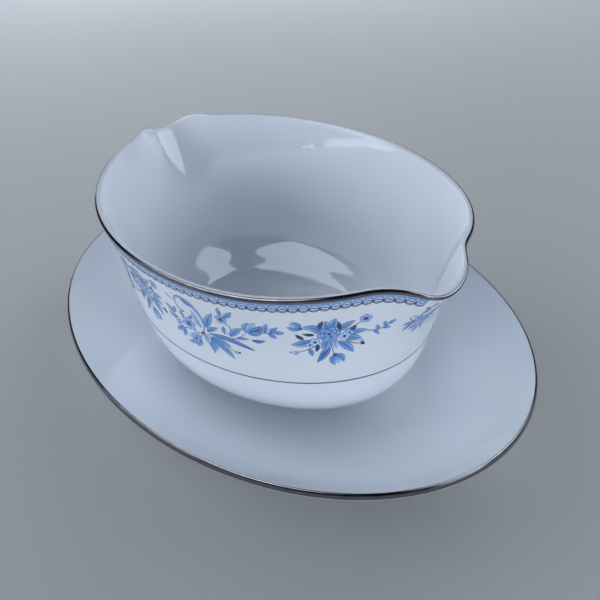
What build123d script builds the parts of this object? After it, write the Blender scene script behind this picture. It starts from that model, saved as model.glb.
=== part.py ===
"""Porcelain gravy boat with two pouring lips, stuck on its own oval underplate.

The boat and the underplate are two castings, joined at the boat's foot by a ring of slip. Platinum bands
run round both rims, a fine platinum line runs round the waist, and printed transfers sit on the outside wall.
Frame: millimetres, +Z up, origin on the table under the middle, +X along the length towards one pouring lip.
"""

import os
from math import cos, exp, pi, sin

from build123d import *

# ---- Underplate, driving dimensions ----
PLATE_LENGTH = 232.0
PLATE_WIDTH = 170.6
PLATE_HEIGHT = 29.4
WELL_HEIGHT = 6.0  # the flat well that the boat stands in
PLATE_EDGE_WIDTH = 1.1
PLATE_EDGE_HEIGHT = 2.6
PLATE_EDGE_RADIUS = 0.4
PLATE_FOOT_INSET = 45.0  # from the plate's edge to the outside of its foot ring
PLATE_FOOT_WIDTH = 3.6
PLATE_FOOT_HEIGHT = 4.6

# ---- Boat, driving dimensions ----
BOAT_LENGTH = 158.6  # the oval of the rim, without the lips
BOAT_WIDTH = 131.2
SIDE_HEIGHT = 81.4  # rim height at the middle of each long side
END_RISE = 3.57  # how much the rim climbs towards the ends
LIP_REACH = 12.0  # how far each lip stands out past the oval
LIP_HALF_WIDTH = 17.7
LIP_START = 36.0  # the lips grow out of the wall above this height
LIP_GROWTH = 1.95
PINCH_DEPTH = 2.25  # the rim draws in on both sides of a lip
PINCH_AT = 18.4
PINCH_WIDTH = 7.9
LIP_DIP = 8.7  # how far a lip's tip bends down from the climbing rim
LIP_DIP_LENGTH = 4.0
LIP_OVERRUN = 2.0  # past the tip by this much, the rim line runs level
RIM_RADIUS = 0.6
RIM_ZONE = 79.0  # only the rim's own edges lie wholly above this height
FLOOR_HEIGHT = 12.5
BODY_BASE = 9.0
FOOT_SIZE = (45.5, 32.0)  # half length and half width of the boat's foot
FOOT_WIDTH = 4.0
SWELL_BASE = -0.025  # the oval is slightly lean at the base and slightly full at the rim
SWELL_GAIN = 0.037

# ---- Joint and decoration ----
SLIP_WIDTH = 1.6
SLIP_HEIGHT = 1.5
LAYER = 0.15  # thickness of every metal band and transfer
BAND_GAP = 0.6  # bare rounded lip above the boat's rim band
BAND_WIDTH = 1.4
PLATE_BAND_HEIGHT = 1.95  # down the upright outside of the plate's edge
PLATE_BAND_TURN = 0.5  # inwards over the top of the plate's edge
PLATE_BAND_MARGIN = 1.0
WAIST_HEIGHT = 40.4
WAIST_WIDTH = 0.6
LACE_GAP = 0.1
LACE_WIDTH = 4.3
LACE_CLEAR_OF_LIP = 7.6  # half width of the bare stretch at each lip
TRANSFER_INSET = 5.2  # the wall's inset from the rim's oval at the height of the transfers

# Height and inset from the rim's oval, outside and inside the boat's wall.
OUTSIDE = [(BODY_BASE, 31.0), (14, 21.2), (25, 12.1), (42, 7.6), (60, 5.3), (76, 1.5), (90, -3.0)]
INSIDE = [(FLOOR_HEIGHT, 29.2), (17.5, 23.4), (25.5, 16.3), (40, 11.0), (60, 8.0), (76, 4.0), (90, -0.9)]
# Height and inset from the plate's edge, on its top and under it.
PLATE_TOP = [(WELL_HEIGHT, 50.0), (7.3, 42.0), (11.0, 32.5), (16.6, 21.5), (22.8, 10.4)]
PLATE_TOP += [(PLATE_HEIGHT, PLATE_EDGE_WIDTH)]
PLATE_UNDER = [(2.6, 50.0), (4.2, 41.5), (7.9, 32.0), (13.7, 20.6), (20.0, 9.4)]
PLATE_UNDER += [(PLATE_HEIGHT - PLATE_EDGE_HEIGHT, 0.0)]

# Transfers: distance along the wall from the middle of a long side, height, half width and half height.
ROSE_SPRAYS = [(0.0, 62.2, 13.4, 12.0), (76.5, 62.0, 13.0, 11.8), (-76.5, 62.0, 13.0, 11.8)]
SCROLL_BOUQUETS = [(38.6, 61.4, 22.8, 12.8), (-38.6, 61.4, 22.8, 12.8)]
LIP_SPRAY_HEIGHT = 66.0
LIP_SPRAY_SIZE = (11.5, 8.0)

SECTION_STEPS = 12
SECTION_CROWDING = 1.2  # above 1, more of a section's points lie near its lip
SLOPE_STEP = 0.001  # radians
RIM_STATIONS = [-100, -93, -89.5, -85, -76, -58, -30, 0, 30, 58, 76, 85, 89.5, 93, 100]
ARC_STEPS = 200
CUT_DEPTH = 9.0
ABOVE_RIM = 20.0
FAR = 200.0


def lip_share(height):
    """How much of the lip's reach the wall has at this height: 0 below the lip, 1 at the rim."""
    return (max(0.0, height - LIP_START) / (SIDE_HEIGHT - LIP_START)) ** LIP_GROWTH


def wall_point(angle, height, inset):
    """A point of the boat's wall, by its angle from the lip, its height and its inset from the rim's oval."""
    swell = 1 + (SWELL_BASE + SWELL_GAIN * height / SIDE_HEIGHT) * sin(2 * angle) ** 2
    x = (BOAT_LENGTH / 2 - inset) * cos(angle) * swell
    y = (BOAT_WIDTH / 2 - inset) * sin(angle) * swell
    reach = LIP_REACH * exp(-((y / LIP_HALF_WIDTH) ** 2))
    pinch = PINCH_DEPTH * exp(-(((abs(y) - PINCH_AT) / PINCH_WIDTH) ** 2))
    return x + cos(angle) * lip_share(height) * (reach - pinch), y


def wall_slope(angle, height, inset):
    """How fast a point of the wall moves as its angle grows."""
    ahead = Vector(*wall_point(angle + SLOPE_STEP, height, inset))
    behind = Vector(*wall_point(angle - SLOPE_STEP, height, inset))
    return (ahead - behind) / (2 * SLOPE_STEP)


def wall_section(height, inset):
    """The boat's closed outline at one height."""
    angles = [pi / 2 * (i / SECTION_STEPS) ** SECTION_CROWDING for i in range(SECTION_STEPS + 1)]
    points = [wall_point(angle, height, inset) for angle in angles]
    # Every section's spline has the same parameters, so the lofted surface stays light.
    slopes = [wall_slope(angles[0], height, inset), wall_slope(angles[-1], height, inset)]
    quarter = Edge.make_spline(points, tangents=slopes, parameters=angles, scale=False)
    with BuildSketch(Plane.XY.offset(height)) as section:
        with BuildLine():
            add(quarter)
            mirror(about=Plane.YZ)
            mirror(about=Plane.XZ)
        make_face()
    return section.sketch


def rim_height(x, drop=0.0):
    """Height of the rim at a distance x along the boat: it climbs to the ends and dips at each lip's tip."""
    tip = BOAT_LENGTH / 2 + LIP_REACH
    reach = min(abs(x), tip + LIP_OVERRUN)
    climb = END_RISE * (reach / (BOAT_LENGTH / 2)) ** 4
    return SIDE_HEIGHT + climb - LIP_DIP * exp((reach - tip) / LIP_DIP_LENGTH) - drop


def rim_strip(low, high):
    """A solid that covers everything from low mm to high mm below the rim, all across the boat."""
    with BuildPart() as strip:
        with BuildSketch(Plane.XZ):
            with BuildLine():
                top = Spline(*[(x, rim_height(x, high)) for x in RIM_STATIONS])
                bottom = Spline(*[(x, rim_height(x, low)) for x in RIM_STATIONS])
                Line(top @ 0, bottom @ 0)
                Line(top @ 1, bottom @ 1)
            make_face()
        extrude(amount=FAR / 2, both=True)
    return strip.part


def plate_section(height, inset):
    """The underplate's oval at one height."""
    with BuildSketch(Plane.XY.offset(height)) as section:
        Ellipse(PLATE_LENGTH / 2 - inset, PLATE_WIDTH / 2 - inset)
    return section.sketch


def oval_ring(name, size, width, base, height):
    """A flat-topped oval ring that stands on base. Its size is its outside half length and half width."""
    with BuildPart() as ring:
        with BuildSketch(Plane.XY.offset(base)):
            Ellipse(size[0], size[1])
            Ellipse(size[0] - width, size[1] - width, mode=Mode.SUBTRACT)
        extrude(amount=height)
    ring.part.label = name
    return ring.part


def wall_frame(distance, height):
    """A plane on the wall, facing straight out, at a distance along the front wall from its middle."""
    travelled, angle = 0.0, -pi / 2
    step = (pi / 2 if distance >= 0 else -pi / 2) / ARC_STEPS
    here = wall_point(angle, height, TRANSFER_INSET)
    while travelled < abs(distance):
        ahead = wall_point(angle + step, height, TRANSFER_INSET)
        travelled += (Vector(*ahead) - Vector(*here)).length
        angle, here = angle + step, ahead
    ahead = wall_point(angle + abs(step), height, TRANSFER_INSET)
    along = (Vector(*ahead) - Vector(*here)).normalized()
    return Plane(origin=(here[0], here[1], height), x_dir=along, z_dir=along.cross(Vector(0, 0, 1)))


def save(part, name):
    """Writes one finished sub-part."""
    part.label = name
    export_step(part, f"parts/{name}.step")


def turned(part):
    """The same sub-part on the opposite side of the boat."""
    return part.rotate(Axis.Z, 180)


os.makedirs("parts", exist_ok=True)

# ---- Underplate: a dished oval with a rounded edge and a foot ring ----
def dish(grow):
    """The underplate without its foot ring, with its edge and top grown outwards by grow."""
    with BuildPart() as plate:
        loft(sections=[plate_section(z, inset - grow) for z, inset in PLATE_UNDER])
        with BuildSketch(Plane.XY.offset(PLATE_HEIGHT - PLATE_EDGE_HEIGHT)):
            Ellipse(PLATE_LENGTH / 2 + grow, PLATE_WIDTH / 2 + grow)
        extrude(amount=PLATE_EDGE_HEIGHT + grow)
        loft(sections=[plate_section(z + grow, inset + grow) for z, inset in PLATE_TOP], mode=Mode.SUBTRACT)
        fillet(plate.edges().group_by(Axis.Z)[-1], PLATE_EDGE_RADIUS)
    return plate.part


with BuildPart() as underplate:
    add(dish(0))
    foot_size = (PLATE_LENGTH / 2 - PLATE_FOOT_INSET, PLATE_WIDTH / 2 - PLATE_FOOT_INSET)
    add(oval_ring("plate_foot", foot_size, PLATE_FOOT_WIDTH, 0, PLATE_FOOT_HEIGHT))
save(underplate.part, "underplate")

# ---- Plate rim band: platinum over the plate's edge and down its upright outside ----
with BuildPart() as plate_rim_band:
    add(dish(LAYER))
    add(underplate.part, mode=Mode.SUBTRACT)
    band_size = (PLATE_LENGTH / 2 + PLATE_BAND_MARGIN, PLATE_WIDTH / 2 + PLATE_BAND_MARGIN)
    band_width = PLATE_BAND_MARGIN + PLATE_BAND_TURN
    band_base = PLATE_HEIGHT - PLATE_BAND_HEIGHT
    band_zone = oval_ring("band_zone", band_size, band_width, band_base, PLATE_BAND_HEIGHT + PLATE_BAND_MARGIN)
    add(band_zone, mode=Mode.INTERSECT)
save(plate_rim_band.part, "plate_rim_band")

# ---- Boat: the hull, its rim trimmed to the climbing and dipping line, hollowed, on an oval foot ----
with BuildPart() as hull:
    loft(sections=[wall_section(z, inset) for z, inset in OUTSIDE])
with BuildPart() as hollow:
    loft(sections=[wall_section(z, inset) for z, inset in INSIDE])
with BuildPart() as boat_body:
    add(hull.part)
    add(rim_strip(0, -ABOVE_RIM), mode=Mode.SUBTRACT)
    add(hollow.part, mode=Mode.SUBTRACT)
    rim_edges = [edge for edge in boat_body.edges() if edge.bounding_box().min.Z > RIM_ZONE]
    fillet([edge for edge in rim_edges if edge.length > LIP_REACH], RIM_RADIUS)
    add(oval_ring("boat_foot", FOOT_SIZE, FOOT_WIDTH, WELL_HEIGHT, BODY_BASE - WELL_HEIGHT))
save(boat_body.part, "boat_body")

# ---- Slip joint: the ring of slip that sticks the boat's foot to the well ----
slip_size = (FOOT_SIZE[0] + SLIP_WIDTH, FOOT_SIZE[1] + SLIP_WIDTH)
save(oval_ring("slip_joint", slip_size, SLIP_WIDTH, WELL_HEIGHT, SLIP_HEIGHT), "slip_joint")

# ---- Decoration layer: bands and transfers are cut from a hull that is thicker by one layer ----
with BuildPart() as grown_hull:
    loft(sections=[wall_section(z, inset - LAYER) for z, inset in OUTSIDE])


def layer_piece(cutter):
    """The stretch of the decoration layer that lies inside the cutter."""
    with BuildPart() as piece:
        add(grown_hull.part)
        add(cutter, mode=Mode.INTERSECT)
        add(hull.part, mode=Mode.SUBTRACT)
    return piece.part


# ---- Boat rim band: platinum on the outside, just under the rounded lip ----
save(layer_piece(rim_strip(BAND_GAP + BAND_WIDTH, BAND_GAP)), "boat_rim_band")

# ---- Waist line: a fine platinum line round the boat ----
with BuildPart() as waist_zone:
    with BuildSketch(Plane.XY.offset(WAIST_HEIGHT - WAIST_WIDTH / 2)):
        Rectangle(FAR, FAR)
    extrude(amount=WAIST_WIDTH)
save(layer_piece(waist_zone.part), "waist_line")

# ---- Lace borders: one scalloped strip under the band on each long side ----
lace_top = BAND_GAP + BAND_WIDTH + LACE_GAP
with BuildPart() as lace_zone:
    add(rim_strip(lace_top + LACE_WIDTH, lace_top))
    with BuildSketch(Plane.XY):
        with Locations((0, -LACE_CLEAR_OF_LIP)):
            Rectangle(2 * FAR, FAR, align=(Align.CENTER, Align.MAX))
    extrude(amount=FAR, mode=Mode.INTERSECT)
lace_border = layer_piece(lace_zone.part)
save(lace_border, "lace_border_front")
save(turned(lace_border), "lace_border_back")


def transfer(plane, half_width, half_height):
    """An oval patch of the decoration layer, where one spray is printed."""
    with BuildPart() as zone:
        with BuildSketch(plane):
            Ellipse(half_width, half_height)
        extrude(amount=CUT_DEPTH, both=True)
    return layer_piece(zone.part)


# ---- Flower transfers: rose sprays and scroll bouquets along both long sides ----
for number, (distance, height, half_width, half_height) in enumerate(ROSE_SPRAYS, start=1):
    spray = transfer(wall_frame(distance, height), half_width, half_height)
    save(spray, f"rose_spray_front_{number}")
    save(turned(spray), f"rose_spray_back_{number}")
for number, (distance, height, half_width, half_height) in enumerate(SCROLL_BOUQUETS, start=1):
    bouquet = transfer(wall_frame(distance, height), half_width, half_height)
    save(bouquet, f"scroll_bouquet_front_{number}")
    save(turned(bouquet), f"scroll_bouquet_back_{number}")

# ---- Lip sprays: one small spray under each lip ----
tip_plane = Plane(origin=(BOAT_LENGTH / 2, 0, LIP_SPRAY_HEIGHT), x_dir=(0, 1, 0), z_dir=(1, 0, 0))
lip_spray = transfer(tip_plane, *LIP_SPRAY_SIZE)
save(lip_spray, "lip_spray_right")
save(turned(lip_spray), "lip_spray_left")
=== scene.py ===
"""Porcelain gravy boat with two pouring lips on an attached underplate: the visual model."""

import bisect
import math
from math import cos, exp, pi, radians, sin

import bpy
from mathutils import Matrix, Vector


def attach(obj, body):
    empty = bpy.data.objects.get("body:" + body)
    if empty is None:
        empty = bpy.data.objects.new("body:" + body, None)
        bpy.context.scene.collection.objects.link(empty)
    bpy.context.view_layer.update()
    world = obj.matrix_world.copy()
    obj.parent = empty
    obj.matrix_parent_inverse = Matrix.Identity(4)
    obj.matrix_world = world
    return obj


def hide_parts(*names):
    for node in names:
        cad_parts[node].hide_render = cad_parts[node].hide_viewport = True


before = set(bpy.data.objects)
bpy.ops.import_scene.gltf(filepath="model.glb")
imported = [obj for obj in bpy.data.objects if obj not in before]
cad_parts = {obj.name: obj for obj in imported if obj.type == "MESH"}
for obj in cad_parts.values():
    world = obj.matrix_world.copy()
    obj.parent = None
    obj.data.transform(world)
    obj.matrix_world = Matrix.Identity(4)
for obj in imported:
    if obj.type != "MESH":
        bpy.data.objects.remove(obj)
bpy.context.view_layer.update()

MM = 0.001

# ---- Shape of the boat and underplate, in millimetres: the same outlines as the solids ----
BOAT_A, BOAT_B = 79.3, 65.6  # half length and half width of the rim's oval
SIDE_HEIGHT = 81.4
END_RISE = 3.57
LIP_REACH, LIP_HALF_WIDTH, LIP_START, LIP_GROWTH = 12.0, 17.7, 36.0, 1.95
PINCH_DEPTH, PINCH_AT, PINCH_WIDTH = 2.25, 18.4, 7.9
LIP_DIP, LIP_DIP_LENGTH, LIP_OVERRUN = 8.7, 4.0, 2.0
SWELL_BASE, SWELL_GAIN = -0.025, 0.037
PLATE_A, PLATE_B = 116.0, 85.3  # half length and half width of the underplate
WELL_HEIGHT = 6.0
PLATE_UNDERSIDE = 2.6  # height of the underside inside the foot ring
FLOOR_HEIGHT, BODY_BASE = 12.5, 9.0  # inside floor and underside of the boat
OUTSIDE = [(BODY_BASE, 31.0), (14, 21.2), (25, 12.1), (42, 7.6), (60, 5.3), (76, 1.5), (90, -3.0)]
INSIDE = [(FLOOR_HEIGHT, 29.2), (17.5, 23.4), (25.5, 16.3), (40, 11.0), (60, 8.0), (76, 4.0), (90, -0.9)]
RIM_ROUND = 0.9  # height of the rounded lip of the rim
AROUND = 432  # segments round every ring
ANGLES = [2 * pi * i / AROUND for i in range(AROUND)]
RIM_PASSES = 14  # enough for the height of the rim to settle


def smooth(table, x):
    """A smooth curve through a table of (x, y) pairs, read at x."""
    xs = [row[0] for row in table]
    i = min(max(bisect.bisect_right(xs, x) - 1, 0), len(table) - 2)

    def slope(k):
        lo, hi = max(k - 1, 0), min(k + 1, len(table) - 1)
        return (table[hi][1] - table[lo][1]) / (table[hi][0] - table[lo][0])

    (x0, y0), (x1, y1) = table[i], table[i + 1]
    h = x1 - x0
    s = (x - x0) / h
    m0, m1 = slope(i) * h, slope(i + 1) * h
    return ((2 * s**3 - 3 * s**2 + 1) * y0 + (s**3 - 2 * s**2 + s) * m0
            + (3 * s**2 - 2 * s**3) * y1 + (s**3 - s**2) * m1)


def wall_point(angle, z, inset):
    """A point of the boat's wall, by its angle from the lip, its height and its inset from the rim's oval."""
    swell = 1 + (SWELL_BASE + SWELL_GAIN * z / SIDE_HEIGHT) * sin(2 * angle) ** 2
    x = (BOAT_A - inset) * cos(angle) * swell
    y = (BOAT_B - inset) * sin(angle) * swell
    share = (max(0.0, z - LIP_START) / (SIDE_HEIGHT - LIP_START)) ** LIP_GROWTH
    reach = LIP_REACH * exp(-((y / LIP_HALF_WIDTH) ** 2))
    pinch = PINCH_DEPTH * exp(-(((abs(y) - PINCH_AT) / PINCH_WIDTH) ** 2))
    return Vector((x + cos(angle) * share * (reach - pinch), y, z))


def rim_height(x):
    """Height of the rim at a distance x along the boat."""
    tip = BOAT_A + LIP_REACH
    reach = min(abs(x), tip + LIP_OVERRUN)
    return SIDE_HEIGHT + END_RISE * (reach / BOAT_A) ** 4 - LIP_DIP * exp((reach - tip) / LIP_DIP_LENGTH)


def rim_top(angle):
    """Height of the rim at an angle round the boat."""
    z = SIDE_HEIGHT
    for _ in range(RIM_PASSES):
        z = 0.5 * z + 0.5 * rim_height(wall_point(angle, z, smooth(OUTSIDE, z)).x)
    return z


RIM_TOPS = [rim_top(angle) for angle in ANGLES]


def rim_z(angle):
    """The rim's height at any angle, read from the finished table."""
    place = (angle / (2 * pi) % 1.0) * AROUND
    i = int(place) % AROUND
    share = place - int(place)
    return RIM_TOPS[i] * (1 - share) + RIM_TOPS[(i + 1) % AROUND] * share


def outside_point(angle, z):
    return wall_point(angle, z, smooth(OUTSIDE, z))


def below_rim(angle, depth):
    """A point on the outside of the boat, depth mm below the top of the rim, round its rounded lip too."""
    top = rim_z(angle)
    if depth >= RIM_ROUND:
        return outside_point(angle, top - depth)
    cut = top - RIM_ROUND
    outer = outside_point(angle, cut)
    inner = wall_point(angle, cut, smooth(INSIDE, cut))
    middle = (outer + inner) / 2
    lift = (RIM_ROUND - depth) / RIM_ROUND
    return middle + (outer - middle) * math.sqrt(max(0.0, 1 - lift * lift)) + Vector((0, 0, RIM_ROUND * lift))


def outward(surface, a, b, step_a=0.002, step_b=0.05):
    """The outward normal of a surface given by a function of two numbers."""
    along = surface(a + step_a, b) - surface(a - step_a, b)
    up = surface(a, b + step_b) - surface(a, b - step_b)
    normal = along.cross(up).normalized()
    here = surface(a, b)
    return normal if normal.dot(Vector((here.x, here.y, 0))) >= 0 else -normal


# ---- Mesh helpers ----
def new_piece(name, points, faces, material, tones=None):
    """A piece that rides on the body, from points in millimetres. tones colour a print point by point."""
    mesh = bpy.data.meshes.new(name)
    mesh.from_pydata([tuple(p * MM) for p in points], [], faces)
    mesh.validate()
    for face in mesh.polygons:
        face.use_smooth = True
    if tones is not None:
        layer = mesh.attributes.new("tone", "FLOAT", "POINT")
        layer.data.foreach_set("value", tones)
    mesh.materials.append(material)
    piece = bpy.data.objects.new(name, mesh)
    bpy.context.collection.objects.link(piece)
    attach(piece, "root")
    return piece


def rings_mesh(rings, start=None, end=None, loop=False):
    """Points and faces over closed rings with equal counts. start and end close the mesh to single points."""
    count = len(rings[0])
    points = [p for ring in rings for p in ring]
    faces = []
    last = len(rings) if loop else len(rings) - 1
    for r in range(last):
        a, b = r * count, ((r + 1) % len(rings)) * count
        for i in range(count):
            j = (i + 1) % count
            faces.append((a + i, a + j, b + j, b + i))
    if start is not None:
        points.append(start)
        faces += [(len(points) - 1, (i + 1) % count, i) for i in range(count)]
    if end is not None:
        points.append(end)
        a = (len(rings) - 1) * count
        faces += [(len(points) - 1, a + i, a + (i + 1) % count) for i in range(count)]
    return points, faces


def oval_rings(curve, half_length, half_width):
    """Closed oval rings from (height, inset) points."""
    return [[Vector(((half_length - inset) * cos(angle), (half_width - inset) * sin(angle), z))
             for angle in ANGLES] for z, inset in curve]


def flip_if_needed(piece):
    """Makes every face look outwards."""
    bpy.context.view_layer.objects.active = piece
    piece.select_set(True)
    bpy.ops.object.mode_set(mode="EDIT")
    bpy.ops.mesh.select_all(action="SELECT")
    bpy.ops.mesh.normals_make_consistent(inside=False)
    bpy.ops.object.mode_set(mode="OBJECT")
    piece.select_set(False)


# ---- Materials ----
GLAZE_IOR = 1.52


def node_tree(name):
    material = bpy.data.materials.new(name)
    material.use_nodes = True
    tree = material.node_tree
    shader = tree.nodes["Principled BSDF"]
    return material, tree, shader


def noise(tree, scale, detail, roughness=0.5):
    coordinates = tree.nodes.new("ShaderNodeTexCoord")
    texture = tree.nodes.new("ShaderNodeTexNoise")
    texture.inputs["Scale"].default_value = scale
    texture.inputs["Detail"].default_value = detail
    texture.inputs["Roughness"].default_value = roughness
    tree.links.new(coordinates.outputs["Object"], texture.inputs["Vector"])
    return texture


def ramp(tree, source, stops):
    """A colour ramp over a number. stops are (place, colour)."""
    node = tree.nodes.new("ShaderNodeValToRGB")
    elements = node.color_ramp.elements
    for element, (place, colour) in zip(elements, (stops[0], stops[-1])):
        element.position, element.color = place, (*colour, 1.0)
    for place, colour in stops[1:-1]:
        elements.new(place).color = (*colour, 1.0)
    tree.links.new(source, node.inputs["Fac"])
    return node


def spread(tree, source, low, high):
    """Maps a 0 to 1 number onto low to high."""
    node = tree.nodes.new("ShaderNodeMapRange")
    node.inputs["To Min"].default_value = low
    node.inputs["To Max"].default_value = high
    tree.links.new(source, node.inputs["Value"])
    return node


def bump(tree, shader, source, strength, distance):
    node = tree.nodes.new("ShaderNodeBump")
    node.inputs["Strength"].default_value = strength
    node.inputs["Distance"].default_value = distance
    tree.links.new(source, node.inputs["Height"])
    tree.links.new(node.outputs["Normal"], shader.inputs["Normal"])


def porcelain(name, light, dark):
    """White glazed porcelain: a slightly uneven body colour under a glossy glaze with a faint ripple."""
    material, tree, shader = node_tree(name)
    body = noise(tree, 26.0, 4.0)
    colour = ramp(tree, body.outputs["Fac"], [(0.3, dark), (0.7, light)])
    tree.links.new(colour.outputs["Color"], shader.inputs["Base Color"])
    gloss = noise(tree, 60.0, 2.0)
    haze = spread(tree, gloss.outputs["Fac"], 0.05, 0.11)
    tree.links.new(haze.outputs["Result"], shader.inputs["Roughness"])
    ripple = noise(tree, 38.0, 1.5)
    bump(tree, shader, ripple.outputs["Fac"], 0.12, 0.0004)
    shader.inputs["IOR"].default_value = GLAZE_IOR
    shader.inputs["Coat Weight"].default_value = 0.35
    shader.inputs["Coat Roughness"].default_value = 0.04
    shader.inputs["Subsurface Weight"].default_value = 0.06
    shader.inputs["Subsurface Radius"].default_value = (0.004, 0.004, 0.005)
    return material


def platinum(name, worn=0.0):
    """Burnished platinum: brush streaks and a few rubbed spots in its colour and gloss."""
    material, tree, shader = node_tree(name)
    rub = noise(tree, 140.0, 5.0, 0.65)
    colour = ramp(tree, rub.outputs["Fac"],
                  [(0.30, (0.17, 0.165, 0.185)), (0.55, (0.23, 0.22, 0.235)), (0.80, (0.36, 0.34, 0.34))])
    tree.links.new(colour.outputs["Color"], shader.inputs["Base Color"])
    haze = spread(tree, rub.outputs["Fac"], 0.08, 0.20 + worn)
    tree.links.new(haze.outputs["Result"], shader.inputs["Roughness"])
    bump(tree, shader, noise(tree, 420.0, 2.0).outputs["Fac"], 0.15, 0.0001)
    shader.inputs["Metallic"].default_value = 1.0
    return material


def transfer_ink(name, stops):
    """Printed blue under the glaze. Each point's tone picks its blue, broken up like hand-laid washes."""
    material, tree, shader = node_tree(name)
    tone = tree.nodes.new("ShaderNodeAttribute")
    tone.attribute_name = "tone"
    wash = noise(tree, 900.0, 3.0, 0.6)
    shift = spread(tree, wash.outputs["Fac"], -0.10, 0.10)
    total = tree.nodes.new("ShaderNodeMath")
    total.operation = "ADD"
    tree.links.new(tone.outputs["Fac"], total.inputs[0])
    tree.links.new(shift.outputs["Result"], total.inputs[1])
    colour = ramp(tree, total.outputs["Value"], stops)
    tree.links.new(colour.outputs["Color"], shader.inputs["Base Color"])
    haze = spread(tree, wash.outputs["Fac"], 0.08, 0.18)
    tree.links.new(haze.outputs["Result"], shader.inputs["Roughness"])
    shader.inputs["IOR"].default_value = GLAZE_IOR
    shader.inputs["Coat Weight"].default_value = 0.35
    shader.inputs["Coat Roughness"].default_value = 0.05
    return material


FLOWER_STOPS = [
    (0.0, (0.012, 0.020, 0.070)),
    (0.25, (0.055, 0.150, 0.440)),
    (0.50, (0.165, 0.370, 0.760)),
    (0.75, (0.420, 0.620, 0.870)),
    (1.0, (0.700, 0.800, 0.920)),
]
LACE_STOPS = [
    (0.0, (0.014, 0.020, 0.055)),
    (0.25, (0.050, 0.110, 0.290)),
    (0.50, (0.150, 0.290, 0.570)),
    (0.75, (0.330, 0.480, 0.740)),
    (1.0, (0.640, 0.720, 0.820)),
]
boat_glaze = porcelain("boat_glaze", (0.80, 0.835, 0.885), (0.765, 0.805, 0.865))
# The underplate's porcelain is the boat's porcelain coloured lighter: painted light.
plate_lit_glaze = porcelain("plate_lit_glaze", (0.85, 0.885, 0.935), (0.815, 0.855, 0.915))
# The slip is the same porcelain coloured darker: painted shade where the boat meets the plate.
slip_shaded_glaze = porcelain("slip_shaded_glaze", (0.76, 0.79, 0.84), (0.70, 0.74, 0.80))
rim_metal = platinum("rim_platinum")
line_metal = platinum("line_platinum", worn=0.08)
flower_ink = transfer_ink("flower_ink", FLOWER_STOPS)
lace_ink = transfer_ink("lace_ink", LACE_STOPS)

# ---- Boat: one closed skin from the floor, over the rounded rim, down the wall to the foot ----
FLOOR_SHARES = [0.12, 0.3, 0.5, 0.7, 0.85, 0.95]
FLOOR_CURVE = [(FLOOR_HEIGHT, 31.5), (12.52, 30.2), (12.62, 29.2), (12.9, 28.3), (13.4, 27.4), (14.2, 26.5),
               (15.5, 25.2), (16.8, 24.0)]
FOOT_CURVE = [(BODY_BASE, 31.0), (8.55, 32.3), (8.1, 33.3), (7.5, 33.8), (6.8, 33.9), (6.05, 33.9), (6.05, 37.7),
              (7.6, 37.9), (8.7, 38.8)]
UNDER_SHARES = [0.9, 0.5, 0.15]
UPPER_START = 18.0
UPPER_STEPS = 56
LOWER_LEVELS = [16.5, 15.0, 13.6, 12.3, 11.2, 10.3, 9.6]
RIM_STEPS = 12


def boat_column(angle):
    """The points of the boat's section at one angle, from the floor over the rim to the foot."""
    cut = rim_z(angle) - RIM_ROUND
    column = [wall_point(angle, z, inset) for z, inset in FLOOR_CURVE]
    levels = [UPPER_START + (cut - UPPER_START) * (k / UPPER_STEPS) for k in range(UPPER_STEPS + 1)]
    column += [wall_point(angle, z, smooth(INSIDE, z)) for z in levels]
    inner, outer = column[-1], outside_point(angle, cut)
    middle, arm = (inner + outer) / 2, (outer - inner) / 2
    for k in range(1, RIM_STEPS):
        turn = pi - pi * k / RIM_STEPS
        column.append(middle + arm * cos(turn) + Vector((0, 0, RIM_ROUND * sin(turn))))
    column += [outside_point(angle, z) for z in reversed(levels)]
    column += [outside_point(angle, z) for z in LOWER_LEVELS]
    column += [wall_point(angle, z, inset) for z, inset in FOOT_CURVE]
    return column


columns = [boat_column(angle) for angle in ANGLES]
rings = [list(ring) for ring in zip(*columns)]
floor_ring, under_ring = rings[0], rings[-1]
floor_rings = [[Vector((p.x * s, p.y * s, p.z)) for p in floor_ring] for s in FLOOR_SHARES]
under_rings = [[Vector((p.x * s, p.y * s, BODY_BASE)) for p in under_ring] for s in UNDER_SHARES]
floor_middle, under_middle = Vector((0, 0, FLOOR_HEIGHT)), Vector((0, 0, BODY_BASE))
points, faces = rings_mesh(floor_rings + rings + under_rings, floor_middle, under_middle)
boat = new_piece("boat_porcelain", points, faces, boat_glaze)
flip_if_needed(boat)
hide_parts("boat_body")

# ---- Underplate: one closed skin over the well, flange, rolled edge, underside and foot ring ----
PLATE_TOP = [(WELL_HEIGHT, 65.0), (WELL_HEIGHT, 56.0), (WELL_HEIGHT, 51.5), (6.15, 48.0), (6.7, 44.5), (7.6, 41.0),
             (11.0, 32.5), (16.6, 21.5), (22.8, 10.4), (28.7, 1.9)]
EDGE_CENTRE = (27.5, 0.92)  # height and inset of the middle of the plate's rounded edge
EDGE_OUT, EDGE_UP, EDGE_DOWN = 0.88, 1.85, 0.90  # how far the edge bulges each way
EDGE_SWEEP = (0, 109, -50, 20)  # lift, first and last angle, steps
PLATE_UNDER = [(26.3, 1.0), (23.6, 4.6), (20.0, 9.4), (13.7, 20.6), (7.9, 32.0), (4.5, 40.6), (3.6, 43.6)]
PLATE_FOOT = [(3.0, 44.9), (0.6, 45.1), (0.12, 45.4), (0.0, 46.0), (0.0, 47.6), (0.12, 48.2), (0.6, 48.5),
              (2.2, 48.7), (2.55, 49.2), (PLATE_UNDERSIDE, 51.0), (PLATE_UNDERSIDE, 65.0)]


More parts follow.
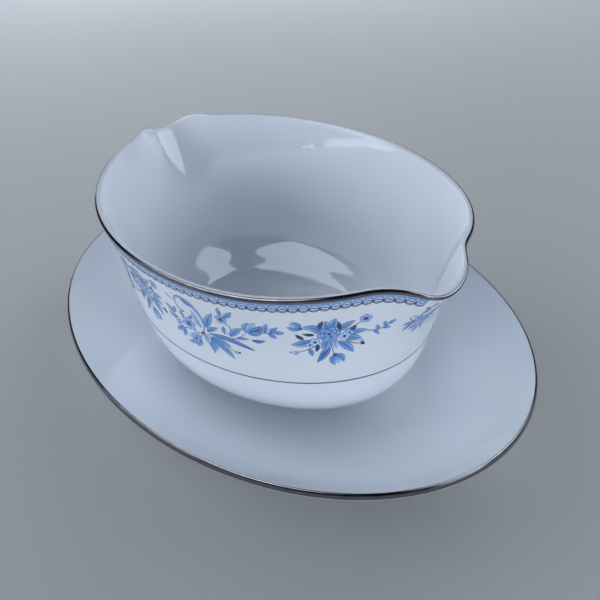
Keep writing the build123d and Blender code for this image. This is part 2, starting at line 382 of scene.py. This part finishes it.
def refine(curve, steps=3):
    """The same curve with smooth points in between."""
    out = []
    for i in range(len(curve) - 1):
        p0, p1, p2, p3 = (curve[min(max(k, 0), len(curve) - 1)] for k in (i - 1, i, i + 1, i + 2))
        for k in range(steps):
            s = k / steps
            out.append(tuple(
                0.5 * (2 * b + (c - a) * s + (2 * a - 5 * b + 4 * c - d) * s**2
                       + (3 * b - a - 3 * c + d) * s**3)
                for a, b, c, d in zip(p0, p1, p2, p3)
            ))
    return out + [curve[-1]]


def edge_arc(lift, start, stop, steps):
    """(height, inset) points over the plate's rounded edge. Angles run up from straight outwards."""
    turns = [radians(start + (stop - start) * k / steps) for k in range(steps + 1)]
    return [(EDGE_CENTRE[0] + ((EDGE_UP if turn > 0 else EDGE_DOWN) + lift) * sin(turn),
             EDGE_CENTRE[1] - (EDGE_OUT + lift) * cos(turn)) for turn in turns]


plate_curve = refine(PLATE_TOP, 5) + edge_arc(*EDGE_SWEEP) + refine(PLATE_UNDER, 4) + refine(PLATE_FOOT)
plate_rings = oval_rings([(max(z, 0.0), inset) for z, inset in plate_curve], PLATE_A, PLATE_B)
points, faces = rings_mesh(plate_rings, Vector((0, 0, WELL_HEIGHT)), Vector((0, 0, PLATE_UNDERSIDE)))
plate = new_piece("underplate_porcelain", points, faces, plate_lit_glaze)
flip_if_needed(plate)
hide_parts("underplate")

# ---- Slip joint: a small fillet of slip round the boat's foot, in a darker copy of the porcelain: painted shade in the crease under the boat ----
SLIP_CURVE = [(WELL_HEIGHT, 33.4), (6.02, 32.4), (6.12, 32.55), (6.3, 32.9), (6.6, 33.3), (7.0, 33.65),
              (7.4, 33.85), (7.45, 34.1)]
points, faces = rings_mesh(oval_rings(SLIP_CURVE, BOAT_A, BOAT_B), loop=True)
slip = new_piece("slip_fillet", points, faces, slip_shaded_glaze)
flip_if_needed(slip)
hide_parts("slip_joint")


# ---- Metal bands: closed strips that sit on the porcelain ----
RIM_LIFT, WAIST_LIFT, EDGE_LIFT = 0.06, 0.05, 0.04  # how far each band stands out of the porcelain
BAND_ROOT = 0.04  # how deep the backs of the bands lie in it
RIM_DEPTHS = [0.08, 0.2, 0.35, 0.55, 0.75, 0.95, 1.15, 1.4, 1.7]  # down from the top of the rim
WAIST_LEVELS = [40.1, 40.25, 40.4, 40.55, 40.7]
EDGE_BAND_TOP, EDGE_BAND_END, EDGE_BAND_STEPS = 100, -8, 14  # angles over the rounded edge


def strip_rings(surface, levels, lift):
    """Rings of a closed strip: its outer face raised by lift, and its back just inside the porcelain."""
    outer = [[surface(a, d) + outward(surface, a, d) * lift for a in ANGLES] for d in levels]
    back = [[surface(a, d) - outward(surface, a, d) * BAND_ROOT for a in ANGLES] for d in reversed(levels)]
    return outer + back


points, faces = rings_mesh(strip_rings(below_rim, RIM_DEPTHS, RIM_LIFT), loop=True)
rim_band = new_piece("boat_rim_platinum", points, faces, rim_metal)
flip_if_needed(rim_band)
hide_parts("boat_rim_band")

points, faces = rings_mesh(strip_rings(outside_point, WAIST_LEVELS, WAIST_LIFT), loop=True)
waist = new_piece("waist_platinum", points, faces, line_metal)
flip_if_needed(waist)
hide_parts("waist_line")

edge_curve = (edge_arc(EDGE_LIFT, EDGE_BAND_TOP, EDGE_BAND_END, EDGE_BAND_STEPS)
              + edge_arc(-BAND_ROOT, EDGE_BAND_END, EDGE_BAND_TOP, EDGE_BAND_STEPS))
points, faces = rings_mesh(oval_rings(edge_curve, PLATE_A, PLATE_B), loop=True)
edge_band = new_piece("plate_rim_platinum", points, faces, rim_metal)
flip_if_needed(edge_band)
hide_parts("plate_rim_band")

# ---- Prints: shapes drawn on the wall in (distance along it, height) millimetres ----
ARC_STEPS = 720
SPRAY_LEVEL = 66.0  # distances along the sprays are measured at this height
LACE_DEPTH = 4.0  # and along the lace this far below the rim
PATCHES = (80, 1.5)  # patches of wall that share a normal, per radian and per millimetre
INK_LIFT = 0.07  # height of the lowest ink above the porcelain
INK_STEP = 0.025  # every level of ink lies this much higher
INK_ROOT = 0.05  # the tiles' backs lie this deep in the porcelain
ACROSS = (-1.0, -0.70, 0.0, 0.70, 1.0)  # the points across a leaf or a stroke
LEAF_STEPS = 9
LEAF = (0.04, 0.74, 0.34, 0.84, 0.04)
PALE_LEAF = (0.25, 0.94, 0.66, 0.98, 0.25)
DEEP_LEAF = (0.02, 0.50, 0.20, 0.62, 0.02)
NAVY_LEAF = (0.0, 0.10, 0.02, 0.14, 0.0)
STROKE = (0.10, 0.16, 0.20, 0.16, 0.10)


def arc_table(curve):
    """Distance along a curve round the boat, from the middle of its front to the middle of its back."""
    table, before = [0.0], curve(-pi / 2)
    for i in range(1, ARC_STEPS + 1):
        here = curve(-pi / 2 + pi * i / ARC_STEPS)
        table.append(table[-1] + (here - before).length)
        before = here
    return table


def angle_at(table, distance):
    """The angle round the boat at a distance along the curve, negative to the left of the middle."""
    i = min(bisect.bisect_right(table, abs(distance)) - 1, ARC_STEPS - 1)
    share = (abs(distance) - table[i]) / (table[i + 1] - table[i])
    turn = pi * (i + share) / ARC_STEPS
    return -pi / 2 + (turn if distance >= 0 else -turn)


WALL_ARC = arc_table(lambda angle: outside_point(angle, SPRAY_LEVEL))
LIP_AT = WALL_ARC[ARC_STEPS // 2]  # distance from the middle of a long side to the middle of a lip
RIM_ARC = arc_table(lambda angle: below_rim(angle, LACE_DEPTH))
NORMALS = {}


def wall_normal(angle, z):
    """The wall's outward normal, worked out once for every small patch of the wall."""
    key = (round(angle * PATCHES[0]), round(z * PATCHES[1]))
    if key not in NORMALS:
        NORMALS[key] = outward(outside_point, key[0] / PATCHES[0], key[1] / PATCHES[1])
    return NORMALS[key]


def on_wall(distance, z, lift):
    """A point of a spray."""
    angle = angle_at(WALL_ARC, distance)
    return outside_point(angle, z) + wall_normal(angle, z) * lift


def under_rim(distance, z, lift):
    """A point of the lace. Its z is measured from the top of the rim."""
    angle = angle_at(RIM_ARC, distance)
    height = rim_z(angle) + z
    return outside_point(angle, height) + wall_normal(angle, height) * lift


def bent(start, end, bend, steps):
    """Spots along an arc from start to end that bows to its left by bend times its length."""
    (u0, z0), (u1, z1) = start, end
    mu, mz = (u0 + u1) / 2 - bend * 2 * (z1 - z0), (z0 + z1) / 2 + bend * 2 * (u1 - u0)
    shares = [k / steps for k in range(steps + 1)]
    return [((1 - s) ** 2 * u0 + 2 * s * (1 - s) * mu + s * s * u1,
             (1 - s) ** 2 * z0 + 2 * s * (1 - s) * mz + s * s * z1) for s in shares]


class Print:
    """Inked shapes. Each one becomes a thin closed tile that is set into the wall."""

    def __init__(self, shift=0.0):
        self.points, self.tones, self.faces = [], [], []
        self.shift = shift

    def tile(self, spots, tones, cells, level):
        """One tile: its spots, their tones, and its cells as tuples of spots."""
        lift, base, count = INK_LIFT + INK_STEP * level, len(self.points), len(spots)
        self.points += [(u + self.shift, z, lift) for u, z in spots]
        self.points += [(u + self.shift, z, -INK_ROOT) for u, z in spots]
        self.tones += list(tones) * 2
        tops = []
        for cell in cells:
            ends = cell[1:] + cell[:1]
            area = sum(spots[a][0] * spots[b][1] - spots[b][0] * spots[a][1] for a, b in zip(cell, ends))
            tops.append(cell if area > 0 else cell[::-1])
        edges = {edge: None for cell in tops for edge in zip(cell, cell[1:] + cell[:1])}
        for cell in tops:
            self.faces.append(tuple(base + i for i in cell))
            self.faces.append(tuple(base + count + i for i in cell[::-1]))
        for a, b in edges:
            if (b, a) not in edges:
                self.faces.append((base + a, base + count + a, base + count + b, base + b))

    def ribbon(self, spine, half_width, tones, level, root=1.0):
        """A strip along a spine of spots. half_width gives its half width at each share of its length.
        Its tones fade in from root times their value at its start."""
        rows, last = [], len(spine) - 1
        for i, (u, z) in enumerate(spine):
            (ua, za), (ub, zb) = spine[max(i - 1, 0)], spine[min(i + 1, last)]
            length = math.hypot(ub - ua, zb - za)
            w = half_width(i / last) / length
            rows.append([(u - (zb - za) * w * c, z + (ub - ua) * w * c) for c in ACROSS])
        n = len(ACROSS)
        cells = [(r * n + c, r * n + c + 1, (r + 1) * n + c + 1, (r + 1) * n + c)
                 for r in range(last) for c in range(n - 1)]
        shades = [tone * (root + (1 - root) * i / last) for i in range(last + 1) for tone in tones]
        self.tile([spot for row in rows for spot in row], shades, cells, level)

    def leaf(self, start, end, width, bend=0.0, tones=LEAF, level=1):
        """A leaf or petal, pointed at both ends."""
        self.ribbon(bent(start, end, bend, LEAF_STEPS),
                    lambda s: 0.05 + width / 2 * sin(pi * s**0.85) ** 0.85, tones, level, 0.6)

    def stem(self, spots, width=0.42):
        """A thin stroke through its spots, finer at its end."""
        self.ribbon(refine(spots, 4), lambda s: width / 2 * (1.0 - 0.55 * s), STROKE, 0)

    def bloom(self, centre, radius, lobes, rings, level, depth=0.30, turn=0.3, notch=0.35):
        """A lobed flower. rings are (share of the radius, tone). Its notches are inked darker."""
        steps = 8 * lobes
        spots, tones = [centre], [rings[0][1]]
        for share, tone in rings[1:]:
            for k in range(steps):
                lobe = abs(cos(pi * k / 8))
                r = radius * share * (1 - depth * (1 - lobe) * share)
                a = 2 * pi * k / steps + turn
                spots.append((centre[0] + r * cos(a), centre[1] + r * sin(a)))
                tones.append(max(0.0, tone - notch * (1 - lobe) ** 2))
        cells = [(0, 1 + k, 1 + (k + 1) % steps) for k in range(steps)]
        for ring in range(len(rings) - 2):
            a, b = 1 + ring * steps, 1 + (ring + 1) * steps
            cells += [(a + k, b + k, b + (k + 1) % steps, a + (k + 1) % steps) for k in range(steps)]
        self.tile(spots, tones, cells, level)

    def dot(self, centre, radius, tone=0.04, level=3):
        """A small round spot of ink."""
        self.bloom(centre, radius, 1, [(0, tone), (1.0, tone)], level, depth=0.0, notch=0.0)

    def tulip(self, start, end, width, level=1):
        """A cup of three pointed petals that opens away from start."""
        (u0, z0), (u1, z1) = start, end
        du, dz = u1 - u0, z1 - z0
        length = math.hypot(du, dz)
        su, sz = -dz / length * width / 2, du / length * width / 2
        self.leaf(start, (u1 - su * 0.1, z1 - sz * 0.1), width * 0.62, 0.0, PALE_LEAF, level)
        self.leaf(start, (u1 + su * 0.8, z1 + sz * 0.8), width * 0.58, 0.18, LEAF, level + 1)
        self.leaf(start, (u1 - su * 0.8, z1 - sz * 0.8), width * 0.58, -0.18, LEAF, level + 1)
        self.bloom(start, width * 0.22, 3, [(0, 0.2), (1.0, 0.1)], level + 2)

    def piece(self, name, node, slot, material, place=on_wall, side=1, back=False):
        """Puts the print on the wall. side -1 mirrors it to the left, back turns it to the back."""
        points = [place(side * u, z, lift) for u, z, lift in self.points]
        if back:
            points = [Vector((-p.x, -p.y, p.z)) for p in points]
        faces = self.faces if side > 0 else [face[::-1] for face in self.faces]
        piece = new_piece(name, points, faces, material, self.tones)
        piece.data.set_sharp_from_angle(angle=radians(40))
        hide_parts(node)


BLOSSOM = [(0, 0.02), (0.22, 0.05), (0.34, 0.80), (0.78, 0.95), (0.92, 0.60), (1.0, 0.10)]
BLUE_BLOSSOM = [(0, 0.0), (0.24, 0.04), (0.38, 0.55), (0.80, 0.74), (0.93, 0.50), (1.0, 0.12)]
ROSE_PETALS = [(0, 0.52), (0.45, 0.46), (0.82, 0.64), (0.93, 0.48), (1.0, 0.12)]
ROSE_HEART = [(0, 0.10), (0.30, 0.16), (0.42, 0.66), (0.80, 0.56), (0.90, 0.36), (1.0, 0.08)]


def rose_spray(shift, link=False):
    """A full rose with leaves all round it, two small blossoms, two tulips and a sprig."""
    art = Print(shift)
    art.stem([(-3.6, 66.2), (-6.5, 68.2), (-9.0, 68.8)])
    art.stem([(5.0, 66.5), (8.2, 68.6), (10.4, 70.6)])
    art.stem([(5.8, 61.8), (9.0, 59.4), (11.8, 58.9)])
    art.stem([(1.0, 61.0), (1.6, 57.6), (2.6, 54.8)])
    art.stem([(-3.6, 60.4), (-6.5, 58.2), (-10.0, 56.6)])
    for start, end, width, bend in [
        ((0.2, 67.6), (1.5, 73.5), 3.2, -0.04), ((-0.8, 67.6), (-1.3, 72.5), 2.7, 0.05),
        ((-2.0, 66.8), (-8.4, 69.6), 3.1, -0.10), ((2.8, 66.6), (8.0, 71.1), 2.8, 0.06),
        ((6.0, 64.2), (12.9, 65.3), 2.5, 0.08), ((5.4, 62.9), (11.4, 61.2), 2.8, 0.05),
        ((-5.2, 62.8), (-12.3, 60.3), 3.1, 0.08), ((3.6, 61.4), (9.1, 54.9), 3.0, 0.05),
    ]:
        art.leaf(start, end, width, bend, LEAF, 1)
    art.leaf((0.6, 59.6), (-3.6, 51.5), 2.7, 0.04, DEEP_LEAF, 1)
    art.leaf((-0.2, 63.0), (-1.2, 57.0), 3.2, 0.0, LEAF, 2)
    art.leaf((1.8, 62.8), (3.0, 57.8), 2.8, 0.0, PALE_LEAF, 2)
    for start, end, width in [
        ((-3.2, 68.6), (-2.3, 72.4), 1.5), ((3.5, 67.6), (2.8, 71.4), 1.5),
        ((6.9, 65.4), (8.7, 68.4), 1.5), ((-8.0, 63.2), (-10.7, 65.7), 1.4),
        ((-4.6, 65.6), (-8.4, 66.0), 1.3), ((-3.4, 60.6), (-3.9, 57.0), 1.5),
    ]:
        art.leaf(start, end, width, 0.05, NAVY_LEAF, 2)
    art.bloom((5.2, 63.9), 2.1, 5, BLOSSOM, 3)
    art.bloom((6.8, 65.4), 1.4, 5, BLOSSOM, 2, turn=1.0)
    art.bloom((-4.4, 61.9), 2.0, 5, BLOSSOM, 3, turn=0.9)
    art.bloom((-6.0, 60.4), 1.5, 5, BLOSSOM, 2, turn=0.1)
    art.bloom((0.0, 65.5), 3.9, 6, ROSE_PETALS, 3, depth=0.22, turn=0.2)
    art.bloom((0.0, 65.6), 2.9, 5, ROSE_PETALS, 4, depth=0.18, turn=0.8)
    art.bloom((0.1, 65.9), 1.9, 3, ROSE_HEART, 5, depth=0.16, turn=1.9)
    art.tulip((-9.0, 68.8), (-12.8, 70.6), 3.0)
    art.tulip((2.6, 54.9), (4.4, 50.3), 3.8)
    art.bloom((11.2, 71.4), 2.1, 5, BLUE_BLOSSOM, 2)
    art.leaf((11.2, 59.3), (12.8, 58.2), 1.3, 0.0, NAVY_LEAF, 2)
    art.leaf((11.4, 58.8), (11.9, 60.8), 1.0, 0.0, LEAF, 1)
    art.bloom((-10.7, 56.3), 1.1, 5, BLOSSOM, 2)
    art.dot((-12.5, 56.5), 0.4, 0.35)
    art.leaf((-6.4, 58.3), (-5.2, 54.7), 1.8, 0.08, LEAF, 1)
    if link:
        art.stem([(13.0, 64.9), (16.8, 65.2), (19.6, 68.0)], 0.38)
        for start, end in [
            ((14.6, 65.0), (17.0, 62.2)), ((16.4, 65.1), (15.6, 67.6)), ((17.6, 65.6), (20.2, 65.6)),
            ((18.4, 66.6), (17.6, 69.3)), ((19.2, 67.3), (20.8, 69.9)),
        ]:
            art.leaf(start, end, 1.3, 0.06, LEAF, 1)
    return art


def scroll_bouquet():
    """A hooked scroll that rises from a hub, with a long blade, fern leaves, blossoms and a tulip."""
    art = Print()
    art.stem([(36.0, 58.0), (41.0, 58.6), (45.3, 59.5), (49.8, 63.7)], 0.34)
    art.stem([(31.4, 56.9), (28.2, 55.9), (25.4, 57.4)], 0.40)
    art.stem([(31.2, 56.8), (29.6, 54.2), (27.4, 52.6)], 0.40)
    art.stem([(25.0, 57.6), (20.4, 58.6), (18.6, 62.0)], 0.36)
    art.stem([(23.6, 56.4), (20.2, 54.0), (17.8, 52.6)], 0.36)
    art.stem([(18.8, 71.1), (19.8, 69.7), (21.4, 69.3)], 0.45)
    art.stem([(32.6, 56.8), (37.0, 54.4), (43.0, 48.9)], 0.36)
    art.stem([(41.4, 67.4), (43.9, 64.7), (43.2, 61.4), (40.9, 60.5)], 0.34)
    art.stem([(40.2, 54.6), (42.6, 53.0), (44.2, 52.3)], 0.28)
    art.stem([(54.4, 64.9), (58.6, 65.6), (62.6, 66.0)], 0.36)
    scroll = refine([(31.5, 57.2), (32.8, 61.5), (32.1, 66.3), (29.8, 70.3), (26.3, 72.3), (23.3, 71.4),
                     (22.2, 68.9), (22.5, 66.3), (24.4, 64.7)], 4)
    art.ribbon(scroll, lambda s: 0.20 + 0.50 * sin(pi * min(1.0, s * 1.25)) ** 1.5,
               (0.12, 0.40, 0.62, 0.50, 0.12), 1)
    art.leaf((26.0, 72.1), (30.6, 69.6), 1.9, -0.06, DEEP_LEAF, 2)
    art.dot((24.4, 64.8), 0.50, 0.15)
    art.leaf((31.2, 59.4), (29.3, 67.6), 2.2, 0.08, PALE_LEAF, 0)
    art.leaf((33.6, 60.6), (38.3, 69.8), 2.8, 0.05, LEAF, 1)
    art.leaf((33.4, 58.6), (38.8, 62.4), 2.0, 0.06, LEAF, 1)
    art.bloom((41.2, 67.9), 2.3, 5, BLUE_BLOSSOM, 2)
    art.leaf((41.5, 69.8), (41.2, 74.0), 1.5, 0.05, LEAF, 1)
    art.leaf((42.4, 69.4), (46.0, 73.3), 2.0, -0.05, LEAF, 1)
    art.leaf((41.0, 60.6), (41.3, 64.5), 1.5, 0.04, LEAF, 1)
    art.leaf((43.0, 59.8), (48.4, 65.5), 2.5, 0.06, LEAF, 1)
    art.leaf((45.2, 59.4), (50.2, 60.3), 1.4, 0.08, LEAF, 1)
    art.leaf((51.0, 60.3), (56.0, 61.2), 1.5, -0.10, DEEP_LEAF, 1)
    art.leaf((49.9, 63.8), (51.0, 69.3), 2.6, 0.12, LEAF, 1)
    art.leaf((50.2, 63.9), (53.3, 69.6), 3.2, 0.05, PALE_LEAF, 2)
    art.leaf((50.6, 63.9), (55.2, 68.6), 3.0, -0.10, DEEP_LEAF, 3)
    art.leaf((50.4, 63.7), (55.6, 65.3), 2.0, -0.06, LEAF, 4)
    for start, end in [
        ((56.2, 65.2), (57.3, 70.2)), ((57.8, 65.6), (60.8, 68.8)), ((59.4, 65.7), (62.8, 66.1)),
        ((57.2, 65.2), (60.0, 62.9)),
    ]:
        art.leaf(start, end, 1.8, 0.05, LEAF, 1)
    art.ribbon(refine([(33.6, 57.6), (38.6, 58.3), (44.4, 57.6), (51.6, 55.2)], 5),
               lambda s: 0.06 + 1.05 * sin(pi * s**1.25) ** 0.8, DEEP_LEAF, 2)
    for start, end, width in [
        ((34.6, 56.4), (42.6, 54.3), 2.5), ((34.4, 55.8), (36.2, 50.3), 2.5),
        ((37.6, 54.4), (43.1, 48.5), 2.4), ((36.4, 55.2), (39.8, 50.9), 2.2),
        ((33.4, 53.6), (34.9, 48.2), 1.8),
    ]:
        art.leaf(start, end, width, 0.05, LEAF, 1)
    art.leaf((32.0, 56.4), (33.0, 51.8), 2.0, 0.0, PALE_LEAF, 1)
    art.bloom((44.3, 52.2), 0.9, 4, BLOSSOM, 2)
    art.dot((45.6, 52.5), 0.45)
    art.leaf((29.8, 54.6), (23.4, 52.6), 3.2, 0.06, PALE_LEAF, 1)
    art.leaf((29.2, 53.0), (26.6, 48.6), 2.4, 0.05, LEAF, 1)
    art.leaf((28.4, 52.2), (22.4, 49.0), 2.0, 0.05, LEAF, 2)
    art.bloom((27.0, 52.4), 1.9, 5, BLUE_BLOSSOM, 3)
    art.bloom((25.3, 59.1), 3.3, 6, BLUE_BLOSSOM, 2, depth=0.36)
    art.leaf((23.4, 61.4), (22.8, 64.6), 1.4, 0.05, LEAF, 1)
    art.leaf((26.6, 61.8), (28.2, 64.2), 1.4, 0.05, LEAF, 1)
    for start, end, width in [
        ((21.6, 56.0), (17.0, 52.4), 2.1), ((22.2, 55.0), (20.5, 50.8), 1.9),
        ((19.6, 58.8), (15.6, 60.6), 1.7), ((18.9, 61.2), (15.4, 64.7), 2.0),
        ((19.0, 61.4), (20.4, 65.0), 1.7),
    ]:
        art.leaf(start, end, width, 0.05, LEAF, 1)
    art.bloom((19.6, 56.8), 1.5, 5, BLOSSOM, 2)
    art.bloom((31.4, 57.0), 0.9, 5, [(0, 0.3), (1.0, 0.1)], 3)
    return art


def lip_spray():
    """A small spray under a lip: one blossom with leaves, and a vine up each flank of the lip."""
    art = Print(LIP_AT)
    for s in (-1, 1):
        art.stem([(s * 3.4, 67.4), (s * 4.4, 71.4), (s * 3.9, 74.0), (s * 2.9, 77.0)], 0.42)
        art.stem([(s * 5.8, 67.2), (s * 7.6, 69.0), (s * 6.6, 70.8)], 0.40)
        for start, end, width, tones in [
            ((1.0, 64.6), (1.3, 69.3), 2.0, LEAF), ((2.0, 63.2), (5.2, 61.6), 1.9, LEAF),
            ((0.7, 61.6), (1.9, 58.2), 1.8, LEAF), ((2.8, 66.0), (6.2, 70.0), 2.7, LEAF),
            ((3.0, 65.2), (6.6, 66.4), 1.9, DEEP_LEAF), ((5.6, 66.0), (8.8, 65.5), 1.5, LEAF),
            ((5.2, 65.2), (7.2, 61.8), 1.5, LEAF), ((4.3, 71.2), (2.7, 73.2), 1.2, LEAF),
            ((4.1, 73.2), (5.2, 75.4), 1.2, DEEP_LEAF), ((3.6, 75.0), (2.2, 76.2), 1.0, LEAF),
        ]:
            art.leaf((s * start[0], start[1]), (s * end[0], end[1]), width, 0.05 * s, tones, 1)
    art.bloom((0.0, 63.4), 2.7, 6, BLUE_BLOSSOM, 3)
    return art


def lace(pitch, cells):
    """A scalloped border: a blue ground with ovals and diamonds, navy nodes and a fine scalloped edge."""
    art = Print(-pitch * (cells - 1) / 2)
    steps = 4
    ground = [(pitch * (k / steps - 0.5), -3.05) for k in range(cells * steps + 1)]
    art.ribbon(ground, lambda s: 1.35, (0.62, 0.56, 0.60, 0.58, 0.52), 0)
    for cell in range(cells):
        middle, edge = pitch * cell, pitch * (cell - 0.5)
        scallop = [(middle + pitch * t, -4.95 - 0.95 * (1 - (2 * t) ** 2))
                   for t in (k / 6 - 0.5 for k in range(7))]
        art.ribbon(scallop, lambda s: 0.17, (0.25, 0.06, 0.0, 0.06, 0.25), 0)
        art.ribbon([(u, z + 0.62) for u, z in scallop], lambda s: 0.15, (0.55, 0.40, 0.35, 0.40, 0.55), 1)
        art.ribbon([(middle - pitch * 0.34, -3.75), (middle, -3.35), (middle + pitch * 0.34, -3.75)],
                   lambda s: 0.10 + 0.46 * sin(pi * s), (0.30, 0.96, 1.0, 0.96, 0.30), 1)
        art.ribbon([(middle - pitch * 0.20, -4.10), (middle, -3.90), (middle + pitch * 0.20, -4.10)],
                   lambda s: 0.06 + 0.20 * sin(pi * s), (0.20, 0.08, 0.04, 0.08, 0.20), 2)
        art.ribbon([(edge, -2.35), (edge, -2.75), (edge, -3.25)], lambda s: 0.05 + 0.30 * sin(pi * s),
                   (0.60, 1.0, 1.0, 1.0, 0.60), 1)
        art.dot((edge, -4.45), 0.42, 0.0)
        art.dot((middle, -5.05), 0.16, 0.30)
    return art


LACE_PITCH = 3.3  # width of one scallop, before a whole number of them is fitted in
LACE_CLEAR_OF_LIP = 7.6  # half width of the bare stretch at each lip
LACE_SEARCH_STEP = 0.25
rim_end = 0.0
while below_rim(angle_at(RIM_ARC, rim_end), LACE_DEPTH).y <= -LACE_CLEAR_OF_LIP:
    rim_end += LACE_SEARCH_STEP
lace_cells = round(2 * rim_end / LACE_PITCH)
lace_art = lace(2 * rim_end / lace_cells, lace_cells)
roses = [(1, rose_spray(1.0), 1), (2, rose_spray(76.9, link=True), 1), (3, rose_spray(76.9, link=True), -1)]
bouquet = scroll_bouquet()
for back, side_name in ((False, "front"), (True, "back")):
    lace_node = f"lace_border_{side_name}"
    lace_art.piece(f"lace_{side_name}", lace_node, "lace_transfer", lace_ink, under_rim, 1, back)
    for number, art, side in roses:
        node = f"rose_spray_{side_name}_{number}"
        art.piece(f"print_{node}", node, "floral_transfer", flower_ink, on_wall, side, back)
    for number, side in ((1, 1), (2, -1)):
        node = f"scroll_bouquet_{side_name}_{number}"
        bouquet.piece(f"print_{node}", node, "floral_transfer", flower_ink, on_wall, side, back)
lip_art = lip_spray()
lip_art.piece("print_lip_spray_right", "lip_spray_right", "floral_transfer", flower_ink)
lip_art.piece("print_lip_spray_left", "lip_spray_left", "floral_transfer", flower_ink, back=True)

# ---- Floor, lights and camera ----
LIGHT_DISTANCE = 1.3
LIGHT_AIM = Vector((0, 0, 0.05))
WORLD_STRENGTH = 0.02
DAYLIGHT = (0.91, 1.0, 1.12)
# Azimuth, elevation and radiance of the soft lights round the table, which only shade. Widths and heights of all
# lights are shares of their distance.
ROOM_LIGHT_SIZE = (0.69, 0.46)
ROOM_LIGHT = [
    (-80, 10, 4.0), (10, 10, 4.0), (145, 10, 5.6), (-170, 32, 2.0), (-125, 32, 2.0), (55, 32, 1.3),
    (100, 32, 2.3), (-125, 55, 0.5),
]
# Azimuth, elevation, width, height and radiance of the windows, which only show in the glaze and the metal.
WINDOWS = [
    (50, 48, 1.0, 0.8, 2.9), (-112, 58, 1.15, 0.72, 2.9), (-114, 6, 0.7, 0.12, 2.4),
    (-84, 8, 0.16, 0.010, 6.0), (12, 5, 0.45, 0.2, 3.0), (172, 6, 0.45, 0.2, 2.5),
]
floor_material, floor_tree, floor_shader = node_tree("floor")
floor_shader.inputs["Base Color"].default_value = (0.45, 0.45, 0.45, 1)
floor_shader.inputs["Roughness"].default_value = 0.7
floor_mesh = bpy.data.meshes.new("floor")
floor_mesh.from_pydata([(-4, -4, 0), (4, -4, 0), (4, 4, 0), (-4, 4, 0)], [], [(0, 1, 2, 3)])
floor_mesh.materials.append(floor_material)
floor = bpy.data.objects.new("floor", floor_mesh)
bpy.context.collection.objects.link(floor)

world = bpy.data.worlds.new("studio")
world.use_nodes = True
world.node_tree.nodes["Background"].inputs["Color"].default_value = (0.80, 0.90, 1.0, 1)
world.node_tree.nodes["Background"].inputs["Strength"].default_value = WORLD_STRENGTH
bpy.context.scene.world = world


def soft_light(name, azimuth, elevation, width, height, radiance):
    """A rectangular light aimed at the boat, seen from it in one direction. Angles are in degrees."""
    a, e = radians(azimuth), radians(elevation)
    data = bpy.data.lights.new(name, "AREA")
    data.shape = "RECTANGLE"
    data.size, data.size_y = width * LIGHT_DISTANCE, height * LIGHT_DISTANCE
    data.energy = radiance * pi * data.size * data.size_y
    data.color = DAYLIGHT
    light = bpy.data.objects.new(name, data)
    light.location = LIGHT_AIM + Vector((cos(a) * cos(e), sin(a) * cos(e), sin(e))) * LIGHT_DISTANCE
    light.rotation_euler = (LIGHT_AIM - light.location).to_track_quat("-Z", "Y").to_euler()
    bpy.context.collection.objects.link(light)
    return light


for azimuth, elevation, radiance in ROOM_LIGHT:
    glow = soft_light(f"room_{azimuth}_{elevation}", azimuth, elevation, *ROOM_LIGHT_SIZE, radiance)
    glow.visible_glossy = False
for azimuth, elevation, width, height, radiance in WINDOWS:
    window = soft_light(f"window_{azimuth}_{elevation}", azimuth, elevation, width, height, radiance)
    window.visible_diffuse = False

VIEW_AZIMUTH, VIEW_ELEVATION, VIEW_ROLL = radians(52.99), radians(36.34), radians(-2.31)
VIEW_DISTANCE, VIEW_RIGHT, VIEW_UP = 0.3113, 0.00691, 0.02241
LENS, SENSOR = 40.66, 36.0
level = cos(VIEW_ELEVATION)
back = Vector((sin(VIEW_AZIMUTH) * level, -cos(VIEW_AZIMUTH) * level, sin(VIEW_ELEVATION)))
right = Vector((cos(VIEW_AZIMUTH), sin(VIEW_AZIMUTH), 0))
up = back.cross(right)
right, up = (right * cos(VIEW_ROLL) + up * sin(VIEW_ROLL), up * cos(VIEW_ROLL) - right * sin(VIEW_ROLL))
place = back * VIEW_DISTANCE + right * VIEW_RIGHT + up * VIEW_UP
camera_data = bpy.data.cameras.new("camera")
camera_data.lens = LENS
camera_data.sensor_width = SENSOR
camera_data.clip_start = 0.01
camera = bpy.data.objects.new("camera", camera_data)
camera.matrix_world = Matrix((
    (right.x, up.x, back.x, place.x),
    (right.y, up.y, back.y, place.y),
    (right.z, up.z, back.z, place.z),
    (0, 0, 0, 1),
))
bpy.context.collection.objects.link(camera)
bpy.context.scene.camera = camera
bpy.context.scene.view_settings.view_transform = "Standard"
